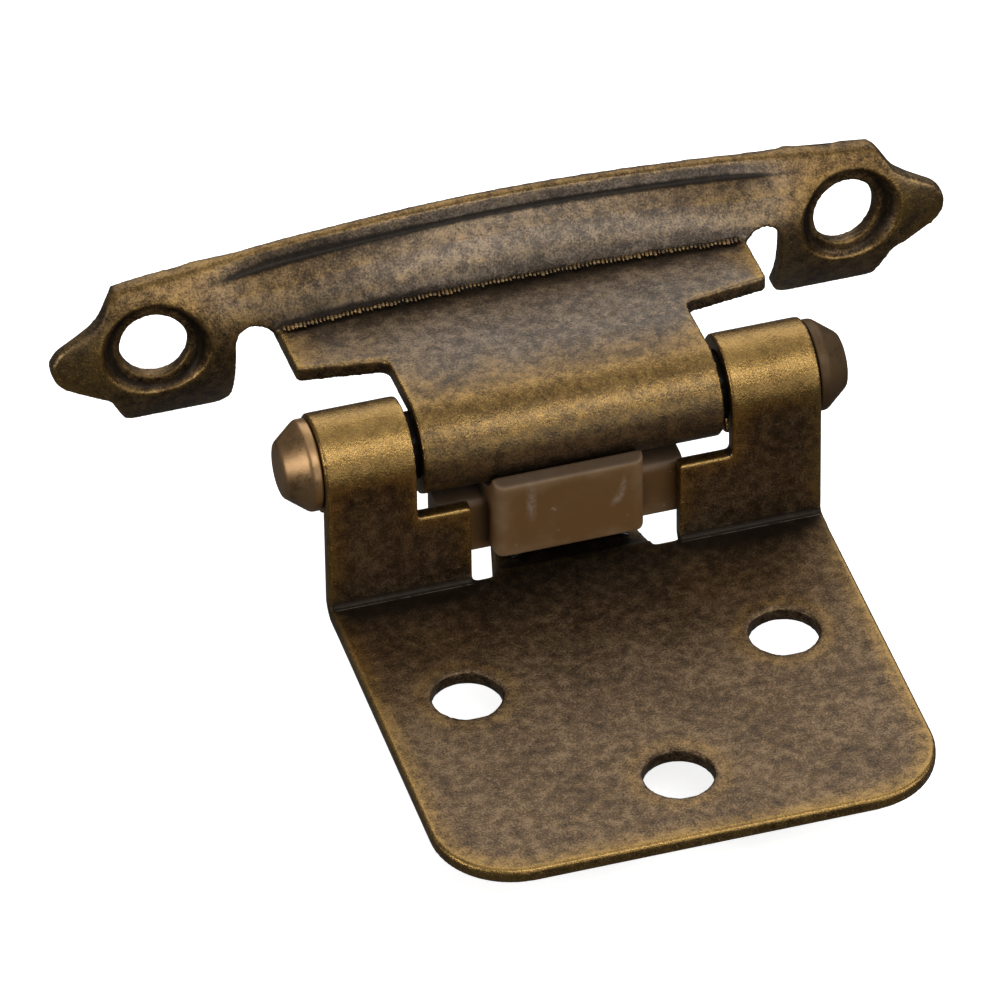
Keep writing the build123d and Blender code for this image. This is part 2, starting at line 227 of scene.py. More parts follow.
class HINGE_PG_nylon(bpy.types.PropertyGroup):
    """Colours and sizes of the moulded shoe and its spring"""

    brown: colour("Brown", "Nylon", (0.13, 0.066, 0.023))
    # Pale: colour of the faint flow marks and of the painted highlight on the shoe's rounded edges
    pale: colour("Pale", "Scuffed nylon", (0.22, 0.145, 0.08))
    # Dark colour of the painted shadow that the barrel casts on the shoe's top
    painted_top_shadow: colour("Grease", "Dark grease on top of the shoe", (0.022, 0.013, 0.006))
    scuff: colour("Scuff", "White scuff marks", (0.5, 0.44, 0.38))
    arc_x: length("Curved scuff place", "Place of the curved scuff along the pin", 2.55 * MM)
    arc_z: length("Curved scuff height", "Height of the scuffs over the plate", 7.3 * MM)
    arc_half: length("Curved scuff size", "Half width of the curved scuff", 0.8 * MM)
    streak_x: length("Streak place", "Place of the upright scuff along the pin", -3.75 * MM)
    grain: length("Grain", "Size of one mesh cell on the shoe and the spring", 0.13 * MM)
    softening: whole_number("Softening", "Smoothing passes that turn the edges round", 14)
    strip_softening: whole_number("Strip softening", "Smoothing passes on the spring strip", 1)
    flow: length("Flow", "Size of the flow marks in the nylon", 3 * MM)
    fine: length("Fine grain", "Size of the fine grain of the nylon", 0.35 * MM)
    speck: length("Speck", "Size of the small pale specks", 1.1 * MM)
    relief: length("Relief", "Height of the nylon's grain", 0.03 * MM)
    roll_long: length("Rolling length", "Length of the rolling marks on the spring", 4 * MM)
    roll_wide: length("Rolling width", "Width of the rolling marks on the spring", 0.12 * MM)
    roll_relief: length("Rolling relief", "Height of the rolling marks on the spring", 0.01 * MM)
    patch: length("Patch", "Size of the patches on the spring", 1.5 * MM)
    blue: colour("Blued steel", "Spring strip", (0.035, 0.036, 0.042))
    straw: colour("Straw steel", "Rubbed spring strip", (0.12, 0.11, 0.1))


class HINGE_PG_stage(bpy.types.PropertyGroup):
    """Camera, floor and light"""

    azimuth: turn("Azimuth", "Camera's turn round the hinge", -16.11)
    elevation: turn("Elevation", "Camera's height over the floor", 39.53)
    roll: turn("Roll", "Camera's roll", -0.85)
    distance: length("Distance", "Camera's distance from the bend line", 903.06 * MM)
    slide: length("Slide", "Camera's shift to its left", 5.72 * MM)
    rise: length("Rise", "Camera's shift downwards", -4.45 * MM)
    sensor: camera_size("Sensor", "Width of the camera's sensor in mm", 36.0)
    lens: camera_size("Lens", "Focal length of the camera in mm", 435.6)
    near: length("Near", "Nearest thing that the camera sees", 10 * MM)
    far: length("Far", "Farthest thing that the camera sees", 10.0)
    floor_half: length("Floor size", "Half width of the floor", 1.5)
    floor_grain: length("Floor grain", "Size of the floor's patches", 30 * MM)
    floor_gap: length("Floor gap", "Room between the floor and the closed wing", 0.2 * MM)
    floor: colour("Floor", "Pale floor", (0.93, 0.928, 0.922))
    floor_dull: colour("Dull floor", "Patches of the floor", (0.88, 0.88, 0.87))
    floor_glow: amount("Floor glow", "Light of its own that lifts the floor's shadows", 0.85)
    key: watts("Key", "Power of the key light", 1.3)
    top: watts("Top", "Power of the overhead light", 1.45)
    back: watts("Back", "Power of the light behind the hinge", 3.8)
    side: watts("Side", "Power of the light on the left", 1.2)
    fill: watts("Fill", "Power of the light on the right", 1.1)
    front: watts("Front", "Power of the low light in front", 0.72)
    sky: amount("Sky", "Strength of the even light from above", 0.2)
    ground: amount("Ground", "Strength of the even light from below", 0.09)


# Each light's place and size in metres; its power is the stage's property of the same name
LIGHTS = {
    "key": ((0.08, -0.42, 0.5), (0.45, 0.18)),
    "top": ((0.05, 0.0, 0.75), (1.0, 0.8)),
    "back": ((0.28, 0.66, 0.56), (1.2, 0.6)),
    "side": ((-0.6, -0.15, 0.22), (0.3, 0.3)),
    "fill": ((0.6, -0.3, 0.25), (0.3, 0.3)),
    "front": ((0.25, -0.7, 0.14), (0.7, 0.22)),
}


class Bench:
    """Adds nodes to one tree and joins them"""

    def __init__(self, tree):
        self.tree = tree
        tree.nodes.clear()

    def add(self, kind, inputs=None, **settings):
        node = self.tree.nodes.new(kind)
        for name, value in settings.items():
            setattr(node, name, value)
        for key, value in (inputs or {}).items():
            if isinstance(value, bpy.types.NodeSocket):
                self.tree.links.new(value, node.inputs[key])
            else:
                node.inputs[key].default_value = value
        return node

    def math(self, operation, *values):
        return self.add("ShaderNodeMath", dict(enumerate(values)), operation=operation).outputs[0]

    def vector(self, operation, *values, out=0):
        return self.add("ShaderNodeVectorMath", dict(enumerate(values)), operation=operation).outputs[out]

    def ramp(self, value, low, high, start=0.0, end=1.0):
        inputs = {"Value": value, "From Min": low, "From Max": high, "To Min": start, "To Max": end}
        return self.add("ShaderNodeMapRange", inputs, interpolation_type="SMOOTHSTEP").outputs[0]

    def mix(self, factor, first, second):
        node = self.add("ShaderNodeMix", {0: factor, 6: first, 7: second}, data_type="RGBA")
        return node.outputs[2]

    def noise(self, place, size, detail=2.0, roughness=0.5):
        inputs = {"Vector": place, "Scale": 1 / size, "Detail": detail, "Roughness": roughness}
        return self.add("ShaderNodeTexNoise", inputs).outputs[0]

    def attribute(self, name):
        return self.add("ShaderNodeAttribute", attribute_name=name).outputs["Fac"]

    def streaks(self, place, turned, long, wide, low, high):
        """Thin straight marks in one direction, from a stretched noise"""
        inputs = {"Vector": place, "Rotation": turned, "Scale": (long, wide, wide)}
        stretched = self.add("ShaderNodeMapping", inputs, vector_type="TEXTURE").outputs[0]
        return self.ramp(self.noise(stretched, 1.0, 1.0), low, high)


def rgba(value):
    return (*value, 1.0)


def new_material(name):
    material = bpy.data.materials.new(name)
    material.use_nodes = True
    return material, Bench(material.node_tree)


def finish_surface(bench, shader):
    bench.add("ShaderNodeOutputMaterial", {"Surface": shader.outputs[0]})


def bend_line(bench, place, broken, y, z, inner):
    """Thin broken painted highlight along X at one Y and Z, from the inner end outwards"""
    look = bpy.context.scene.hinge_brass
    off = bench.vector("SUBTRACT", place, (0.0, y, z))
    across = bench.vector("LENGTH", bench.vector("MULTIPLY", off, (0.0, 1.0, 1.0)), out=1)
    near = bench.ramp(across, 0.4 * look.line_width, look.line_width, 1.0, 0.0)
    along = bench.math("ABSOLUTE", bench.add("ShaderNodeSeparateXYZ", {0: place}).outputs[0])
    outside = bench.math("GREATER_THAN", along, inner)
    whole = bench.math("MULTIPLY", near, outside)
    return bench.math("MULTIPLY", whole, bench.ramp(broken, 0.3, 0.6, 0.2, 0.9))


def antique_brass(name, bend=None):
    """Brown patina with a fine speckle, rubbed through to gold where the rub attribute is high, greyed by a film
    that is partly painted sheen and darkened by grime and painted shade.
    A bend, given as its Y, Z and inner end, shows a thin pale line, a painted highlight, where the sheet was
    folded."""
    look = bpy.context.scene.hinge_brass
    material, bench = new_material(name)
    place = bench.add("ShaderNodeTexCoord").outputs["Object"]
    speckle = bench.noise(place, look.speckle, 3.0, 0.6)
    mottle = bench.noise(place, look.mottle, 4.0, 0.65)
    cloud = bench.noise(place, look.cloud, 3.0, 0.6)
    rub = bench.attribute("rub")
    hollow = bench.attribute("hollow")
    burnish = bench.attribute("burnish")
    film = bench.attribute("film")

    tone = bench.math("MULTIPLY_ADD", speckle, 0.47, bench.math("MULTIPLY", mottle, 0.48))
    tone = bench.math("MULTIPLY_ADD", cloud, 0.2, tone)
    dark = bench.mix(bench.ramp(tone, 0.42, 0.58), rgba(look.umber), rgba(look.patina))
    patina = bench.mix(bench.ramp(tone, 0.54, 0.72), dark, rgba(look.bloom))
    grey = bench.mix(bench.ramp(tone, 0.48, 0.72), rgba(look.film_and_sheen_ground), rgba(look.film))
    # Grey film over the patina: partly real, partly painted sheen
    patina = bench.mix(bench.math("MULTIPLY", film, 0.6), patina, grey)

    wear = bench.math("MULTIPLY_ADD", burnish, 0.6, rub)
    wear = bench.math("MULTIPLY_ADD", bench.math("SUBTRACT", tone, 0.575), 2.2, wear)
    gold = bench.ramp(wear, -0.05, 1.1)
    bright = bench.ramp(bench.math("MULTIPLY_ADD", rub, 0.25, tone), 0.46, 0.86)
    metal = bench.mix(bright, rgba(look.old_gold), rgba(look.gold))
    scratch = bench.streaks(place, (0.0, 0.0, 0.55), look.scratch_long, look.scratch_wide, 0.69, 0.73)
    nick = bench.streaks(place, (0.0, 0.0, -0.9), look.nick_long, look.nick_wide, 0.7, 0.74)
    scratch = bench.math("MAXIMUM", scratch, nick)
    fleck = bench.ramp(bench.noise(place, look.fleck, 2.0), 0.66, 0.74, 0.0, 0.5)
    bare = bench.math("MAXIMUM", gold, bench.math("MAXIMUM", fleck, bench.math("MULTIPLY", scratch, 0.75)))
    shown = bench.mix(bare, patina, metal)
    # Grime in the hollows and painted shade darken the colour here
    dirt_and_shade = bench.ramp(bench.math("MULTIPLY_ADD", tone, -0.4, hollow), 0.0, 0.7, 0.0, 0.9)
    shown = bench.mix(dirt_and_shade, shown, rgba(look.grime_and_shade))
    # Painted highlight: a thin pale line along the fold
    if bend:
        shown = bench.mix(bend_line(bench, place, mottle, *bend), shown, rgba(look.line))

    rough = bench.ramp(bench.math("SUBTRACT", tone, bench.math("MULTIPLY", bare, 0.25)), 0.2, 0.8, 0.21, 0.44)
    rough = bench.math("MULTIPLY_ADD", dirt_and_shade, 0.3, rough)
    height = bench.math("MULTIPLY_ADD", scratch, -0.35, bench.math("MULTIPLY_ADD", mottle, 0.5, speckle))
    bump = bench.add("ShaderNodeBump", {"Height": height, "Strength": 0.8, "Distance": look.relief})
    inputs = {
        "Base Color": shown,
        "Roughness": rough,
        "Normal": bump.outputs[0],
        "Metallic": 0.95,
        "Coat Weight": look.lacquer,
        "Coat Roughness": 0.32,
        "Coat IOR": 1.6,
    }
    finish_surface(bench, bench.add("ShaderNodeBsdfPrincipled", inputs))
    return material


def pin_bronze(name):
    """Coppery brown, darker in patches, dark with grime in the hollows and with painted shade on the shank between
    the knuckles and on the right head; the flat tips are darkened too
    """
    look = bpy.context.scene.hinge_pin
    brass = bpy.context.scene.hinge_brass
    material, bench = new_material(name)
    place = bench.add("ShaderNodeTexCoord").outputs["Object"]
    speckle = bench.noise(place, brass.speckle, 3.0, 0.6)
    mottle = bench.noise(place, look.mottle, 4.0, 0.6)
    tone = bench.math("MULTIPLY_ADD", speckle, 0.4, bench.math("MULTIPLY", mottle, 0.6))
    worn = bench.ramp(bench.math("MULTIPLY_ADD", bench.attribute("rub"), 0.35, tone), 0.46, 0.8)
    shown = bench.mix(worn, rgba(look.brown), rgba(look.copper))
    shown = bench.mix(bench.ramp(bench.attribute("hollow"), 0.1, 0.8), shown, rgba(brass.grime_and_shade))
    rough = bench.math("MULTIPLY_ADD", bench.attribute("hollow"), 0.5, bench.ramp(tone, 0.3, 0.7, 0.28, 0.45))
    bump = bench.add("ShaderNodeBump", {"Height": tone, "Strength": 0.5, "Distance": brass.relief})
    inputs = {
        "Base Color": shown,
        "Roughness": rough,
        "Normal": bump.outputs[0],
        "Metallic": 0.9,
        "Coat Weight": 0.12,
        "Coat Roughness": 0.25,
    }
    finish_surface(bench, bench.add("ShaderNodeBsdfPrincipled", inputs))
    return material


def arc_mark(bench, place):
    """Curved scuff, on the front of the shoe"""
    look = bpy.context.scene.hinge_nylon
    half = look.arc_half
    middle = bench.vector("SUBTRACT", place, (look.arc_x, 0.0, look.arc_z))
    round_it = bench.vector("MULTIPLY", middle, (1 / half, 0.0, 0.55 / half))
    off = bench.math("ABSOLUTE", bench.math("SUBTRACT", bench.vector("LENGTH", round_it, out=1), 1.0))
    low_side = bench.vector("DOT_PRODUCT", round_it, (0.8, 0.0, -0.6), out=1)
    return bench.math("MULTIPLY", bench.ramp(off, 0.0, 0.5, 1.0, 0.0), bench.ramp(low_side, 0.3, 0.95))


def streak_mark(bench, place):
    """Upright scuff, on the front of the shoe"""
    look = bpy.context.scene.hinge_nylon
    middle = bench.vector("SUBTRACT", place, (look.streak_x, 0.0, look.arc_z))
    parts = bench.add("ShaderNodeSeparateXYZ", {0: bench.vector("ABSOLUTE", middle)}).outputs
    across = bench.ramp(parts[0], 0.0, 0.7 * look.arc_half, 1.0, 0.0)
    along = bench.ramp(parts[2], 0.4 * look.arc_half, 3 * look.arc_half, 1.0, 0.0)
    return bench.math("MULTIPLY", across, along)


def moulded_nylon(name):
    """Semi-gloss brown nylon with faint flow marks, a few white scuffs, pale edges that are a painted highlight
    and a painted shadow on its top
    """
    look = bpy.context.scene.hinge_nylon
    material, bench = new_material(name)
    place = bench.add("ShaderNodeTexCoord").outputs["Object"]
    flow = bench.noise(place, look.flow, 4.0, 0.6)
    fine = bench.noise(place, look.fine, 3.0)
    # Painted highlight: the rounded edges turn pale, mixed with the real flow marks
    worn = bench.ramp(bench.math("MULTIPLY_ADD", bench.attribute("rub"), 0.35, flow), 0.5, 1.2)
    shown = bench.mix(worn, rgba(look.brown), rgba(look.pale))
    scuffs = bench.ramp(bench.noise(place, look.speck, 3.0, 0.7), 0.66, 0.74, 0.0, 0.25)
    uneven = bench.ramp(fine, 0.2, 0.7, 0.0, 0.28)
    for mark in (arc_mark(bench, place), streak_mark(bench, place)):
        scuffs = bench.math("MAXIMUM", scuffs, bench.math("MULTIPLY", mark, uneven))
    shown = bench.mix(scuffs, shown, rgba(look.scuff))
    # Painted shadow: the up-facing top of the shoe goes dark, as if shaded by the barrel
    shown = bench.mix(bench.math("MULTIPLY", bench.attribute("hollow"), 0.85), shown, rgba(look.painted_top_shadow))
    rough = bench.math("MULTIPLY_ADD", bench.attribute("hollow"), 0.4, bench.ramp(flow, 0.3, 0.7, 0.3, 0.42))
    height = bench.math("MULTIPLY_ADD", fine, 0.4, flow)
    bump = bench.add("ShaderNodeBump", {"Height": height, "Strength": 0.25, "Distance": look.relief})
    inputs = {
        "Base Color": shown,
        "Roughness": rough,
        "Normal": bump.outputs[0],
        "IOR": 1.53,
        "Specular IOR Level": 0.3,
    }
    finish_surface(bench, bench.add("ShaderNodeBsdfPrincipled", inputs))
    return material


def blued_steel(name):
    """Dark spring strip, rolled lengthwise"""
    look = bpy.context.scene.hinge_nylon
    material, bench = new_material(name)
    place = bench.add("ShaderNodeTexCoord").outputs["Object"]
    rolled = bench.streaks(place, (0.0, 0.0, 0.0), look.roll_long, look.roll_wide, 0.35, 0.7)
    patch = bench.noise(place, look.patch, 3.0)
    shown = bench.mix(bench.math("MULTIPLY", rolled, patch), rgba(look.blue), rgba(look.straw))
    bump = bench.add("ShaderNodeBump", {"Height": rolled, "Strength": 0.3, "Distance": look.roll_relief})
    inputs = {
        "Base Color": shown,
        "Roughness": bench.ramp(patch, 0.3, 0.7, 0.3, 0.45),
        "Normal": bump.outputs[0],
        "Metallic": 1.0,
    }
    finish_surface(bench, bench.add("ShaderNodeBsdfPrincipled", inputs))
    return material


def pale_floor(name):
    """Plain pale floor with faint patches and a little light of its own"""
    look = bpy.context.scene.hinge_stage
    material, bench = new_material(name)
    place = bench.add("ShaderNodeTexCoord").outputs["Object"]
    grain = bench.noise(place, look.floor_grain, 3.0)
    shade = bench.mix(bench.ramp(grain, 0.3, 0.7, 0.0, 0.04), rgba(look.floor), rgba(look.floor_dull))
    inputs = {
        "Base Color": shade,
        "Roughness": bench.ramp(grain, 0.3, 0.7, 0.6, 0.7),
        "Emission Color": rgba(look.floor),
        "Emission Strength": look.floor_glow,
    }
    finish_surface(bench, bench.add("ShaderNodeBsdfPrincipled", inputs))
    return material


def new_object(name, data):
    made = bpy.data.objects.new(name, data)
    bpy.context.scene.collection.objects.link(made)
    return made


def baked(piece):
    """Turns a piece and its modifiers into one plain mesh"""
    evaluated = piece.evaluated_get(bpy.context.evaluated_depsgraph_get())
    mesh = bpy.data.meshes.new_from_object(evaluated)
    piece.modifiers.clear()
    old = piece.data
    piece.data = mesh
    if old.users == 0:
        bpy.data.meshes.remove(old)
    mesh.name = piece.name
    mesh.shade_smooth()
    return piece


def softened(node, name, grain, passes, skew=Matrix.Identity(4)):
    """Copy of a CAD node on an even mesh, its sharp edges turned round.
    The even mesh is laid in a skewed grid where long edges would else come out in steps."""
    mesh = frame["nodes"][node].data.copy()
    mesh.materials.clear()
    shell = bmesh.new()
    shell.from_mesh(mesh)
    bmesh.ops.remove_doubles(shell, verts=shell.verts, dist=SAME_POINT)
    shell.transform(skew)
    shell.to_mesh(mesh)
    shell.free()
    piece = new_object(name, mesh)
    even = piece.modifiers.new("Even mesh", "REMESH")
    even.mode = "VOXEL"
    even.voxel_size = grain
    baked(piece).data.transform(skew.inverted())
    true = piece.modifiers.new("True surface", "SHRINKWRAP")
    true.target = frame["nodes"][node]
    soft = piece.modifiers.new("Round edges", "SMOOTH")
    soft.factor = 0.5
    soft.iterations = passes
    return baked(piece)


def thinned(piece):
    """Takes out the faces that the flat parts of a finished piece don't need"""
    faces = sum(len(polygon.vertices) - 2 for polygon in piece.data.polygons)
    thin = piece.modifiers.new("Thin mesh", "DECIMATE")
    thin.ratio = min(1, MOST_FACES / faces)
    return baked(piece)


def points_of(mesh, what):
    values = np.empty(len(mesh.vertices) * 3, np.float32)
    mesh.vertices.foreach_get(what, values)
    return values.reshape(-1, 3).astype(float)


def relaxed(mesh, values, passes, weight=0.5):
    """Rows of values, one row for each point of a mesh, drawn towards their neighbours pass after pass"""
    count = len(values)
    edges = np.empty(len(mesh.edges) * 2, np.int32)
    mesh.edges.foreach_get("vertices", edges)
    first, second = edges.reshape(-1, 2).T
    joined = np.bincount(first, minlength=count) + np.bincount(second, minlength=count)
    smooth = values.copy()
    for _ in range(passes):
        for column in range(smooth.shape[1]):
            way = smooth[:, column]
            total = np.bincount(first, way[second], count) + np.bincount(second, way[first], count)
            smooth[:, column] = way + weight * (total / joined - way)
    return smooth


def stand(mesh, passes):
    """How far each point stands over the surface around it, in metres"""
    points, normals = points_of(mesh, "co"), points_of(mesh, "normal")
    return ((points - relaxed(mesh, points, passes)) * normals).sum(1)


def move_points(mesh, points):
    mesh.vertices.foreach_set("co", points.astype(np.float32).ravel())
    mesh.update()


def ease_edges(mesh):
    """Rounds the wing's top edge further"""
    sizes = bpy.context.scene.hinge_sheet
    near = eased(-laid_level(mesh)[2], -sizes.bead_drop, -sizes.bead_drop / 4)
    move_points(mesh, relaxed(mesh, points_of(mesh, "co"), sizes.easing, 0.5 * near))


def eased(values, low, high):
    way = np.clip((values - low) / (high - low), 0, 1)
    return way * way * (3 - 2 * way)


def set_attribute(mesh, name, values):
    attribute = mesh.attributes.new(name, "FLOAT", "POINT")
    attribute.data.foreach_set("value", values.astype(np.float32))


def laid_level(mesh):
    """Points and normals of the wing as if it were closed, and each point's distance below the top edge"""
    level = np.array(WING_TURN)
    points, normals = points_of(mesh, "co") @ level, points_of(mesh, "normal") @ level
    along, up, _ = points.T
    column = np.rint(np.abs(along) / MM).astype(int)
    edge = np.full(column.max() + 1, up.min())
    np.maximum.at(edge, column, up)
    return points, normals, np.interp(np.abs(along), np.arange(len(edge)) * MM, edge) - up


def press_bead(mesh):
    """Presses the soft line below the wing's top edge and returns how deep each point went, from 0 to 1"""
    sizes = bpy.context.scene.hinge_sheet
    points, normals = points_of(mesh, "co"), points_of(mesh, "normal")
    level_points, level_normals, below = laid_level(mesh)
    along, facing = level_points[:, 0], level_normals[:, 2]
    line = np.exp(-(((below - sizes.bead_drop) / sizes.bead_width) ** 2)) * (facing > 0.3)
    line *= 1 - eased(np.abs(along), sizes.bead_reach, sizes.bead_reach + sizes.bead_fade)
    move_points(mesh, points - normals * (line * sizes.bead_depth)[:, None])
    return line


def mark_wear_and_painted_light(mesh, burnish=0.0, dirt_and_shade=0.0, film=0.0, calm=0.0):
    """Stores where the surface is rubbed, where it is dark with grime in hollows and with painted shade, where it
    is burnished, and where it has the grey film with its painted sheen; calm places are rubbed less
    """
    sizes = bpy.context.scene.hinge_sheet
    near = stand(mesh, sizes.edge_passes) / sizes.edge_stand
    broad = stand(mesh, sizes.broad_passes) / sizes.broad_stand
    set_attribute(mesh, "rub", (1 - calm) * (0.45 * np.clip(near, 0, 1) + 0.5 * np.clip(broad, 0, 1)))
    set_attribute(mesh, "hollow", 0.35 * np.clip(-near, 0, 1) + 0.35 * np.clip(-broad, 0, 1) + 0.5 * dirt_and_shade)
    set_attribute(mesh, "burnish", burnish + 0 * near)
    set_attribute(mesh, "film", film + 0 * near)


def settle(piece, material, body, slot, *nodes):
    """Gives a finished piece its material, its body and the nodes it stands for"""
    piece.data.materials.clear()
    piece.data.materials.append(material)
    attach(piece, body)
    if nodes:
        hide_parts(*nodes)


def leaf_wear_and_painted_light(mesh):
    """Burnishes the knuckles, darkens the cut edges and the hole rims, paints shade into the fold, in front of the
    fold and under the shoe, and lays a faint grey film with painted sheen on the plate
    """
    sizes = bpy.context.scene.hinge_sheet
    points, normals = points_of(mesh, "co"), points_of(mesh, "normal")
    x, y, z = points.T
    burnish = eased(z, PIN.z - 0.7 * BARREL_R, PIN.z + 0.7 * BARREL_R)
    # Painted shade: dark along the inside of the fold
    fold = np.exp(-(y**2 + z**2) / sizes.fold_reach**2)
    # Painted shade on the plate in front of the fold, where the barrel and the shoe shade it
    shade = eased(y, -sizes.shade_reach, 0) * (z < sizes.fold_reach)
    on_leg = (z > BARREL_R / 2) & (z < PIN.z - BARREL_R / 2)
    cut = np.maximum(eased(np.abs(normals[:, 0]), 0.6, 0.95), on_leg * eased(normals[:, 2], 0.6, 0.95))
    # Painted shadow on the plate under the shoe
    closer = (np.abs(x) < sizes.fold_inner) & (y > -sizes.fold_reach) & (z < PIN.z - BARREL_R)
    rim = np.zeros(len(points))
    for hole in LEAF_HOLES:
        out = np.linalg.norm(points[:, :2] - hole, axis=1) - LEAF_HOLE_R
        rim = np.maximum(rim, np.exp(-((out / sizes.hole_reach) ** 2)))
    # Real dirt on the cut edges and hole rims; painted shade in the fold, in front of it and under the shoe
    dirt_and_shade = np.maximum.reduce([0.7 * fold, cut, 1.4 * closer, 0.8 * rim, 1.45 * shade])
    # Faint grey film on the plate, partly painted sheen
    mark_wear_and_painted_light(mesh, burnish, dirt_and_shade, 0.2 * (1 - burnish), 0.9 * rim)


class HINGE_OT_door_leaf(bpy.types.Operator):
    """Dress the folded door leaf in antique brass"""

    bl_idname = "hinge.door_leaf"
    bl_label = "Door leaf"

    def execute(self, context):
        sizes = context.scene.hinge_sheet
        leaf = softened("door_leaf", "leaf_sheet", sizes.leaf_grain, sizes.softening)
        leaf_wear_and_painted_light(leaf.data)
        brass = antique_brass("leaf antique brass", (-sizes.fold_back, sizes.fold_up, sizes.fold_inner))
        settle(thinned(leaf), brass, "leaf", "antique_brass", "door_leaf")
        return {"FINISHED"}


def wing_wear_and_painted_light(mesh, line):
    """Burnishes the barrel, the top edge and the noses, lays a grey film that is partly painted sheen on the broad
    faces, darkens the hollows, and paints shade on the barrel's lower half, on the neck by the crease and on the
    wing's left
    """
    sizes = bpy.context.scene.hinge_sheet
    points = points_of(mesh, "co")
    level, normals, below = laid_level(mesh)
    along = level[:, 0]
    _, y, z = points.T
    on_upper_wing = below < 2 * sizes.bead_drop
    past_wing = below > 4 * sizes.bead_drop
    crease = y.max() - sizes.crease_back
    front = eased(normals[:, 2], 0.4, 0.8)
    top_edge = eased(normals[:, 1], 0.3, 0.8) * on_upper_wing
    neck_top = eased(normals[:, 1], 0.6, 0.9) * past_wing
    on_curl = 1 - eased(y, PIN.y - 0.3 * BARREL_R, PIN.y + 1.3 * BARREL_R)
    # Burnish on the barrel fades downwards: real rubbing above, painted shade on the lower half
    barrel = on_curl * eased(z, PIN.z - 0.3 * BARREL_R, PIN.z + 0.8 * BARREL_R)
    nose = eased(np.abs(along), 0.84 * CAD_BOX[1].x, 0.94 * CAD_BOX[1].x)
    on_ear = eased(np.abs(along), sizes.film_and_sheen_reach, sizes.film_and_sheen_reach + sizes.dish_r)

    # Painted shade: the neck darkens towards the crease, standing in for its reflection of the wing
    dark = neck_top * eased(y, crease - sizes.neck_reach, crease)
    middle = 1 - eased(np.abs(along), sizes.film_and_sheen_reach, sizes.film_and_sheen_reach + sizes.neck_reach)
    # Grey film, partly painted sheen, on the broad faces, the neck and the noses
    film = np.clip(front * middle + neck_top * (1 - on_curl) * (1 - dark), 0, 1)
    # Painted shade: the grey film fades towards the wing's left end
    film *= 1 - 0.35 * eased(-along, 0, sizes.film_and_sheen_reach)
    film = np.maximum(film, 0.9 * nose)

    under_neck = past_wing & (y < crease - 2 * sizes.bead_drop)
    sides = eased(np.abs(normals[:, 0]), 0.6, 0.95) * (below > sizes.bead_drop)
    cut = np.maximum(sides, under_neck * front * (1 - on_curl))
    dish = np.zeros(len(points))
    for hole in WING_HOLES:
        out = np.linalg.norm(points - hole, axis=1)
        dish = np.maximum(dish, eased(-out, -sizes.dish_r, -0.8 * sizes.dish_r))
    # Painted shade: the front of the wing darkens towards its left end
    left = front * (1 - nose) * eased(-along, 0, 0.85 * sizes.film_and_sheen_reach)
    dirt_and_shade = np.maximum.reduce([line, dark, cut, dish, (1.25 - 0.6 * on_ear) * left])

    near_top = eased(-below, -2 * sizes.bead_drop, -sizes.bead_drop / 2)
    ends = (1 - middle) * (1 - nose)
    calm = np.maximum.reduce([0.7 * near_top, 0.4 * ends, 0.7 * barrel, 0.5 * film * (1 - nose)])
    mark_wear_and_painted_light(mesh, np.maximum.reduce([barrel, 0.5 * top_edge, 0.6 * nose]), dirt_and_shade, film, calm)


class HINGE_OT_frame_wing(bpy.types.Operator):
    """Dress the bowed frame wing in antique brass"""

    bl_idname = "hinge.frame_wing"
    bl_label = "Frame wing"

    def execute(self, context):
        sizes = context.scene.hinge_sheet
        wing = softened("frame_wing", "wing_sheet", sizes.wing_grain, sizes.softening, WING_SKEW)
        ease_edges(wing.data)
        wing_wear_and_painted_light(wing.data, press_bead(wing.data))
        settle(thinned(wing), antique_brass("wing antique brass"), "wing", "antique_brass", "frame_wing")
        return {"FINISHED"}


def named_inputs(tree, rows):
    """Adds a tree's named inputs and returns their identifiers"""
    found = {}
    for name, kind in rows:
        found[name] = tree.interface.new_socket(name, in_out="INPUT", socket_type=kind).identifier
    tree.interface.new_socket("Geometry", in_out="OUTPUT", socket_type="NodeSocketGeometry")
    return found


def finish_tree(bench, shape, material):
    """Ends a Geometry Nodes tree with plain faces in their material"""
    plain = bench.add("GeometryNodeRealizeInstances", {"Geometry": shape}).outputs[0]
    dressed = bench.add("GeometryNodeSetMaterial", {"Geometry": plain, "Material": material}).outputs[0]
    bench.add("NodeGroupOutput", {0: dressed})


def grown(name, tree, identifiers, values):
    """Runs a Geometry Nodes tree with its named values and returns the plain piece"""
    piece = new_object(name, bpy.data.meshes.new(name))
    modifier = piece.modifiers.new(tree.name, "NODES")
    modifier.node_group = tree
    for key, value in values.items():
        modifier[identifiers[key]] = value
    return baked(piece)


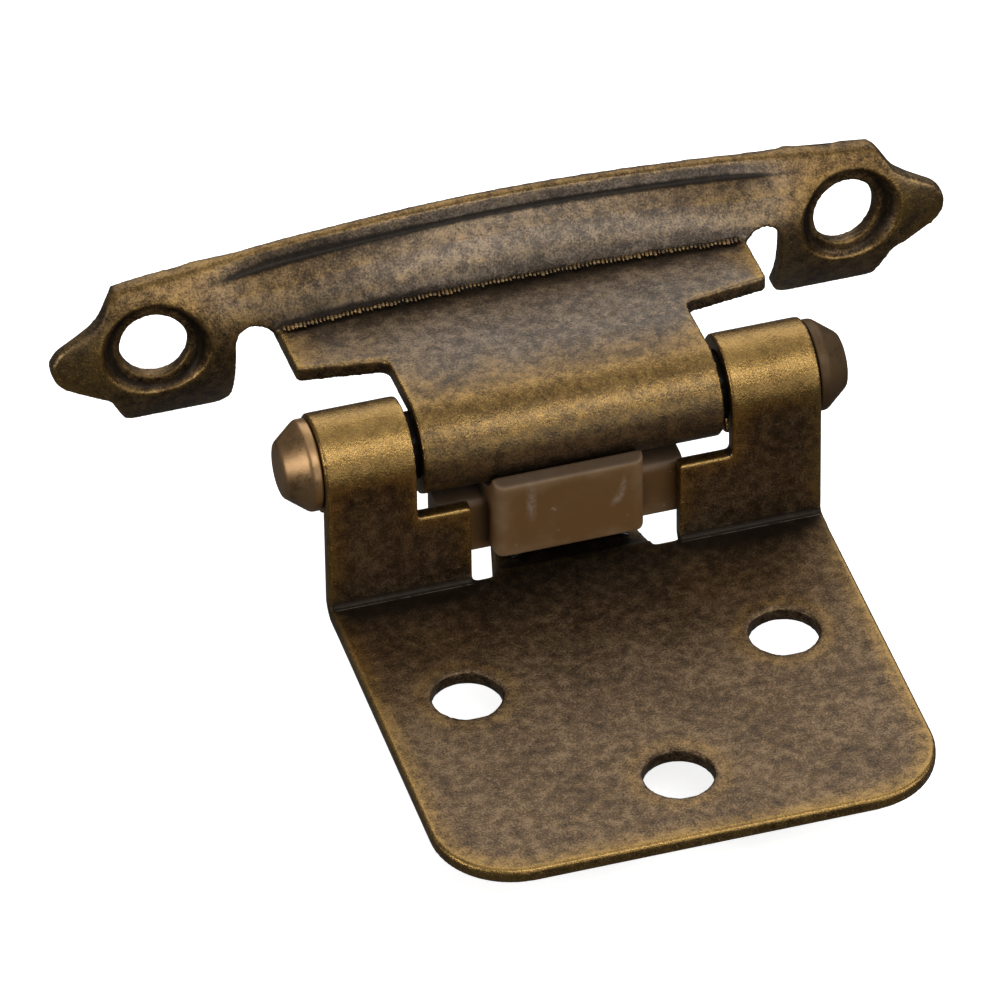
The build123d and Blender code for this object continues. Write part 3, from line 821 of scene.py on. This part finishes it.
def turned_pin_tree():
    """A bar along X whose radius follows a rule: shank, groove, rim, cone and rounded tip at both ends"""
    tree = bpy.data.node_groups.new("Turned pin", "GeometryNodeTree")
    rows = [
        ("Knuckle end", "NodeSocketFloat"),
        ("Head length", "NodeSocketFloat"),
        ("Head radius", "NodeSocketFloat"),
        ("Rim", "NodeSocketFloat"),
        ("Tip radius", "NodeSocketFloat"),
        ("Rounding", "NodeSocketFloat"),
        ("Shank radius", "NodeSocketFloat"),
        ("Step", "NodeSocketFloat"),
        ("Middle", "NodeSocketVector"),
        ("Material", "NodeSocketMaterial"),
    ]
    identifiers = named_inputs(tree, rows)
    bench = Bench(tree)
    given = bench.add("NodeGroupInput").outputs
    end = bench.math("ADD", given["Knuckle end"], given["Head length"])
    start = bench.add("ShaderNodeCombineXYZ", {0: bench.math("MULTIPLY", end, -1.0)}).outputs[0]
    stop = bench.add("ShaderNodeCombineXYZ", {0: end}).outputs[0]
    line = bench.add("GeometryNodeCurvePrimitiveLine", {"Start": start, "End": stop}).outputs[0]
    spaced = {"Curve": line, "Length": given["Step"]}
    line = bench.add("GeometryNodeResampleCurve", spaced, mode="LENGTH").outputs[0]
    position = bench.add("GeometryNodeInputPosition").outputs[0]
    along = bench.add("ShaderNodeSeparateXYZ", {0: position}).outputs[0]
    out = bench.math("SUBTRACT", bench.math("ABSOLUTE", along), given["Knuckle end"])

    cone = bench.math("SUBTRACT", given["Head length"], given["Rim"])
    fall = bench.math("DIVIDE", bench.math("SUBTRACT", given["Head radius"], given["Tip radius"]), cone)
    past_rim = bench.math("SUBTRACT", out, given["Rim"])
    sloped = bench.math("SUBTRACT", given["Head radius"], bench.math("MULTIPLY", past_rim, fall))
    head = bench.math("SMOOTH_MIN", sloped, given["Head radius"], given["Rounding"])
    square = bench.math("MULTIPLY", given["Rounding"], given["Rounding"])
    for edge in (bench.math("SUBTRACT", given["Head length"], out), out):
        short = bench.math("MAXIMUM", bench.math("SUBTRACT", given["Rounding"], edge), 0.0)
        left = bench.math("SUBTRACT", square, bench.math("MULTIPLY", short, short))
        root = bench.math("SQRT", bench.math("MAXIMUM", left, 0.0))
        head = bench.math("SUBTRACT", head, bench.math("SUBTRACT", given["Rounding"], root))
    choice = {"Switch": bench.math("GREATER_THAN", out, 0.0), "False": given["Shank radius"], "True": head}
    radius = bench.add("GeometryNodeSwitch", choice, input_type="FLOAT").outputs[0]
    circle = {"Resolution": RING_POINTS, "Radius": 1.0}
    ring = bench.add("GeometryNodeCurvePrimitiveCircle", circle).outputs[0]
    swept = {"Curve": line, "Profile Curve": ring, "Scale": radius, "Fill Caps": True}
    bar = bench.add("GeometryNodeCurveToMesh", swept).outputs[0]
    bar = bench.add("GeometryNodeTransform", {"Geometry": bar, "Translation": given["Middle"]}).outputs[0]
    finish_tree(bench, bar, given["Material"])
    return tree, identifiers


class HINGE_OT_hinge_pin(bpy.types.Operator):
    """Turn the riveted pin with its two heads"""

    bl_idname = "hinge.hinge_pin"
    bl_label = "Hinge pin"

    def execute(self, context):
        sizes = context.scene.hinge_pin
        tree, identifiers = turned_pin_tree()
        material = pin_bronze("pin bronze")
        values = {
            "Knuckle end": LEAF_HIGH.x,
            "Head length": HEAD_LENGTH,
            "Head radius": HEAD_R,
            "Rim": sizes.rim,
            "Tip radius": sizes.tip_r,
            "Rounding": sizes.rounding,
            "Shank radius": sizes.shank_r,
            "Step": sizes.step,
            "Middle": PIN,
            "Material": material,
        }
        pin = grown("turned_pin", tree, identifiers, values)
        along = points_of(pin.data, "co")[:, 0]
        inside = np.abs(along) < LEAF_HIGH.x + 0.3 * sizes.rounding
        tip = np.abs(along) > PIN_HIGH.x - 0.3 * sizes.rounding
        # Painted shade: the shank seen between the knuckles goes dark and the right head darker; the flat tips are
        # darkened a little too
        mark_wear_and_painted_light(pin.data, dirt_and_shade=2.0 * inside + 0.25 * tip + 1.1 * (along > LEAF_HIGH.x))
        settle(pin, material, "leaf", "pin_bronze", "hinge_pin")
        return {"FINISHED"}


def crease_teeth_tree():
    """A row of small ridges laid on the wing's front, just above the neck"""
    tree = bpy.data.node_groups.new("Crease teeth", "GeometryNodeTree")
    rows = [
        ("Wing", "NodeSocketObject"),
        ("Start", "NodeSocketVector"),
        ("End", "NodeSocketVector"),
        ("Step back", "NodeSocketVector"),
        ("Raise", "NodeSocketFloat"),
        ("Pitch", "NodeSocketFloat"),
        ("Size", "NodeSocketVector"),
        ("Seed", "NodeSocketInt"),
        ("Material", "NodeSocketMaterial"),
    ]
    identifiers = named_inputs(tree, rows)
    bench = Bench(tree)
    given = bench.add("NodeGroupInput").outputs
    wing = bench.add("GeometryNodeObjectInfo", {"Object": given["Wing"]}).outputs["Geometry"]
    ends = {"Start": given["Start"], "End": given["End"]}
    line = bench.add("GeometryNodeCurvePrimitiveLine", ends).outputs[0]
    spaced = {"Curve": line, "Length": given["Pitch"]}
    dots = bench.add("GeometryNodeCurveToPoints", spaced, mode="LENGTH").outputs[0]
    level_ray = {"Target Geometry": wing, "Ray Direction": (0.0, 1.0, 0.0), "Ray Length": 1.0}
    wall = bench.add("GeometryNodeRaycast", level_ray).outputs["Hit Position"]
    before = bench.vector("ADD", wall, given["Step back"])
    sloped_ray = {**level_ray, "Source Position": before, "Ray Direction": (0.0, 1.0, -1.0)}
    cast = bench.add("GeometryNodeRaycast", sloped_ray)
    normal = cast.outputs["Hit Normal"]
    raised = {0: normal, "Scale": given["Raise"]}
    out = bench.add("ShaderNodeVectorMath", raised, operation="SCALE").outputs[0]
    seat = {"Geometry": dots, "Position": cast.outputs["Hit Position"], "Offset": out}
    dots = bench.add("GeometryNodeSetPosition", seat).outputs[0]
    facing = bench.add("FunctionNodeAlignRotationToVector", {"Vector": normal}, axis="Z").outputs[0]
    ridge = bench.add("GeometryNodeMeshUVSphere", {"Segments": 8, "Rings": 6, "Radius": 0.5}).outputs[0]
    spread = {"Min": (0.55, 0.5, 0.6), "Max": (1.2, 1.25, 1.4), "Seed": given["Seed"]}
    uneven = bench.add("FunctionNodeRandomValue", spread, data_type="FLOAT_VECTOR").outputs[0]
    size = bench.vector("MULTIPLY", uneven, given["Size"])
    row = {"Points": dots, "Instance": ridge, "Rotation": facing, "Scale": size}
    teeth = bench.add("GeometryNodeInstanceOnPoints", row).outputs[0]
    finish_tree(bench, teeth, given["Material"])
    return tree, identifiers


class HINGE_OT_crease_teeth(bpy.types.Operator):
    """Lay the row of tool marks along the crease of the wing"""

    bl_idname = "hinge.crease_teeth"
    bl_label = "Crease teeth"

    def execute(self, context):
        sizes = context.scene.hinge_teeth
        wing = bpy.data.objects["wing_sheet"]
        points = points_of(wing.data, "co")
        surface = BVHTree.FromObject(wing, context.evaluated_depsgraph_get())
        over_neck = Vector((0, PIN.y + 2 * BARREL_R, CAD_BOX[1].z))
        neck = surface.ray_cast(over_neck, Vector((0, 0, -1)))[0]
        front = surface.ray_cast(neck + Vector((0, 0, sizes.lift)), Vector((0, 1, 0)))[0]
        before = front.y - BARREL_R / 3
        height = surface.ray_cast(Vector((0, before, CAD_BOX[1].z)), Vector((0, 0, -1)))[0].z + sizes.lift
        beside = np.abs(points[:, 1] - neck.y) < sizes.pitch
        half = np.abs(points[beside, 0]).max() - sizes.inset
        tree, identifiers = crease_teeth_tree()
        material = bpy.data.materials["wing antique brass"]
        values = {
            "Wing": wing,
            "Start": (-half, before, height),
            "End": (half, before, height),
            "Step back": (0.0, -sizes.back, sizes.back - sizes.lift + sizes.seat),
            "Raise": sizes.proud / 2,
            "Pitch": sizes.pitch,
            "Size": (sizes.wide, sizes.tall, 2 * sizes.proud),
            "Seed": sizes.seed,
            "Material": material,
        }
        teeth = grown("crease_teeth", tree, identifiers, values)
        # The tool marks' pale grey is partly a painted highlight along the crease
        for mark, level in {"rub": 0.45, "hollow": 0.0, "burnish": 0.3, "film": 1.4}.items():
            set_attribute(teeth.data, mark, np.full(len(teeth.data.vertices), level))
        settle(teeth, material, "wing", "antique_brass")
        return {"FINISHED"}


class HINGE_OT_closer_shoe(bpy.types.Operator):
    """Dress the moulded closer shoe in brown nylon"""

    bl_idname = "hinge.closer_shoe"
    bl_label = "Closer shoe"

    def execute(self, context):
        sizes = context.scene.hinge_nylon
        shoe = softened("closer_shoe", "nylon_shoe", sizes.grain, sizes.softening)
        # Painted shadow: the shoe's up-facing faces are darkened as the barrel's shadow
        mark_wear_and_painted_light(shoe.data, dirt_and_shade=1.6 * eased(points_of(shoe.data, "normal")[:, 2], 0.5, 0.95))
        settle(shoe, moulded_nylon("moulded nylon"), "shoe", "brown_nylon", "closer_shoe")
        return {"FINISHED"}


class HINGE_OT_closer_spring(bpy.types.Operator):
    """Dress the bowed spring strip on a mesh of its own; the real strip flattens as the shoe goes down"""

    bl_idname = "hinge.closer_spring"
    bl_label = "Closer spring"

    def execute(self, context):
        sizes = context.scene.hinge_nylon
        strip = softened("closer_spring", "spring_strip", sizes.grain, sizes.strip_softening)
        settle(strip, blued_steel("blued steel"), "leaf", "spring_steel", "closer_spring")
        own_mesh(strip)
        return {"FINISHED"}


def photo_camera(name):
    """Camera at the photograph's angle"""
    look = bpy.context.scene.hinge_stage
    azimuth, elevation, roll = look.azimuth, look.elevation, look.roll
    ahead = Vector((math.sin(azimuth), -math.cos(azimuth), 0))
    back = math.cos(elevation) * ahead + Vector((0, 0, math.sin(elevation)))
    right = Vector((math.cos(azimuth), math.sin(azimuth), 0))
    up = back.cross(right)
    across = math.cos(roll) * right + math.sin(roll) * up
    upright = math.cos(roll) * up - math.sin(roll) * right
    data = bpy.data.cameras.new(name)
    data.sensor_width = look.sensor
    data.lens = look.lens
    data.clip_start, data.clip_end = look.near, look.far
    camera = new_object(name, data)
    place = look.distance * back - look.slide * across - look.rise * upright
    turned = Matrix((across, upright, back)).transposed().to_4x4()
    camera.matrix_world = Matrix.Translation(place) @ turned
    return camera


def flat_floor(name):
    """Square floor just below the lowest place of the closed wing"""
    look = bpy.context.scene.hinge_stage
    wing = points_of(frame["nodes"]["frame_wing"].data, "co")
    closed = (wing - np.array(PIN)) @ np.array(WING_TURN)
    level = min(CAD_BOX[0].z, PIN.z + closed[:, 2].min()) - look.floor_gap
    half = look.floor_half
    corners = [(-half, -half, level), (half, -half, level), (half, half, level), (-half, half, level)]
    mesh = bpy.data.meshes.new(name)
    mesh.from_pydata(corners, [], [(0, 1, 2, 3)])
    mesh.materials.append(pale_floor("pale floor"))
    floor = new_object(name, mesh)
    floor.visible_glossy = False
    floor.visible_diffuse = False
    return floor


def soft_light(name, place, aim, size, power):
    """Rectangle of light that faces its aim"""
    data = bpy.data.lights.new(name, "AREA")
    data.shape = "RECTANGLE"
    data.size, data.size_y = size
    data.energy = power
    light = new_object(name, data)
    light.location = place
    light.rotation_euler = (aim - place).to_track_quat("-Z", "Y").to_euler()


def even_sky(name):
    """Soft light from above that fades out below the horizon"""
    look = bpy.context.scene.hinge_stage
    world = bpy.data.worlds.new(name)
    world.use_nodes = True
    bench = Bench(world.node_tree)
    direction = bench.add("ShaderNodeTexCoord").outputs["Generated"]
    height = bench.add("ShaderNodeSeparateXYZ", {0: direction}).outputs[2]
    strength = bench.ramp(height, -0.35, 0.2, look.ground, look.sky)
    light = bench.add("ShaderNodeBackground", {"Strength": strength, "Color": (1.0, 1.0, 1.0, 1.0)})
    bench.add("ShaderNodeOutputWorld", {"Surface": light.outputs[0]})
    return world


class HINGE_OT_stage(bpy.types.Operator):
    """Set the camera, the pale floor and the soft light"""

    bl_idname = "hinge.stage"
    bl_label = "Stage"

    def execute(self, context):
        scene = context.scene
        look = scene.hinge_stage
        scene.camera = photo_camera("photo camera")
        flat_floor("floor")
        aim = Vector((0, 0, PIN.z))
        for name, (place, size) in LIGHTS.items():
            soft_light(f"{name} light", Vector(place), aim, size, getattr(look, name))
        scene.world = even_sky("even sky")
        scene.view_settings.view_transform = "Standard"
        return {"FINISHED"}


GROUPS = {
    "hinge_sheet": HINGE_PG_sheet,
    "hinge_brass": HINGE_PG_brass,
    "hinge_pin": HINGE_PG_pin,
    "hinge_teeth": HINGE_PG_teeth,
    "hinge_nylon": HINGE_PG_nylon,
    "hinge_stage": HINGE_PG_stage,
}
OPERATORS = (
    HINGE_OT_door_leaf,
    HINGE_OT_frame_wing,
    HINGE_OT_crease_teeth,
    HINGE_OT_hinge_pin,
    HINGE_OT_closer_shoe,
    HINGE_OT_closer_spring,
    HINGE_OT_stage,
)


class HINGE_PT_looks(bpy.types.Panel):
    """Lists the hinge's pieces and their sizes"""

    bl_label = "Flush hinge"
    bl_idname = "HINGE_PT_looks"
    bl_space_type = "VIEW_3D"
    bl_region_type = "UI"
    bl_category = "Hinge"

    def draw(self, context):
        for operator in OPERATORS:
            self.layout.operator(operator.bl_idname)
        for name, group in GROUPS.items():
            box = self.layout.box()
            box.label(text=group.__doc__)
            for prop in group.__annotations__:
                box.prop(getattr(context.scene, name), prop)


def register():
    for cls in (*GROUPS.values(), *OPERATORS, HINGE_PT_looks):
        bpy.utils.register_class(cls)
    for name, group in GROUPS.items():
        setattr(bpy.types.Scene, name, PointerProperty(type=group))


def unregister():
    for name in GROUPS:
        delattr(bpy.types.Scene, name)
    for cls in (HINGE_PT_looks, *reversed(OPERATORS), *GROUPS.values()):
        bpy.utils.unregister_class(cls)


def main():
    register()
    bpy.ops.hinge.door_leaf()
    bpy.ops.hinge.frame_wing()
    bpy.ops.hinge.crease_teeth()
    bpy.ops.hinge.hinge_pin()
    bpy.ops.hinge.closer_shoe()
    bpy.ops.hinge.closer_spring()
    bpy.ops.hinge.stage()


if __name__ == "__main__":
    main()
